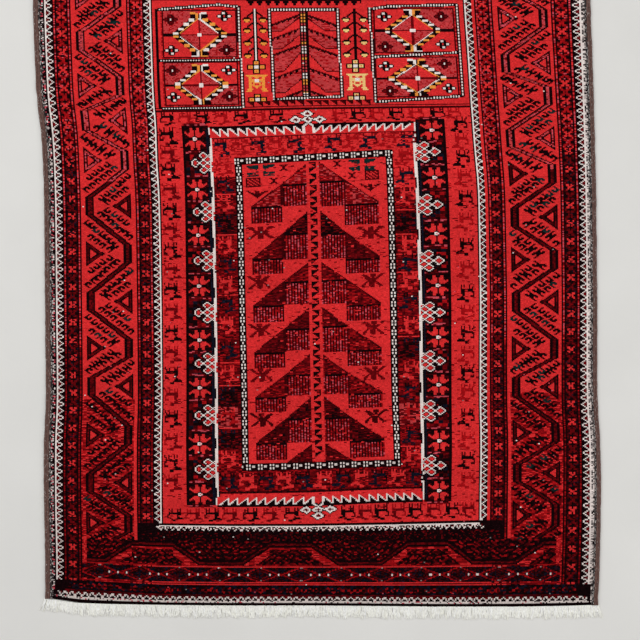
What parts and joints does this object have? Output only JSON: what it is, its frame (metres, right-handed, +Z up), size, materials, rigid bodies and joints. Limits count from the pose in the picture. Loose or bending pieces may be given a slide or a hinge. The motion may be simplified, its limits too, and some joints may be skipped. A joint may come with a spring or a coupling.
{
  "type": "oriental rug",
  "caption": "Hand-knotted wool prayer rug that lies flat, with overcast side selvedges and a short white cotton fringe at each end.",
  "frame": {"origin": "middle of the whole rug's footprint, on its underside", "axes": "+X across the rug, +Y along it towards the niche's head, +Z up out of the pile"},
  "size_m": [0.9526, 1.2172, 0.0069],
  "materials": {
    "wool_pile": "matt knotted wool, red with a dark, white and rust pattern",
    "goat_hair": "matt dark brown overcast goat hair",
    "cotton_warp": "matt off-white cotton"
  },
  "bodies": {
    "root": {"carpet": "wool_pile", "selvedge_left": "goat_hair", "selvedge_right": "goat_hair", "fringe_lower": "cotton_warp", "fringe_upper": "cotton_warp"}
  },
  "joints": []
}
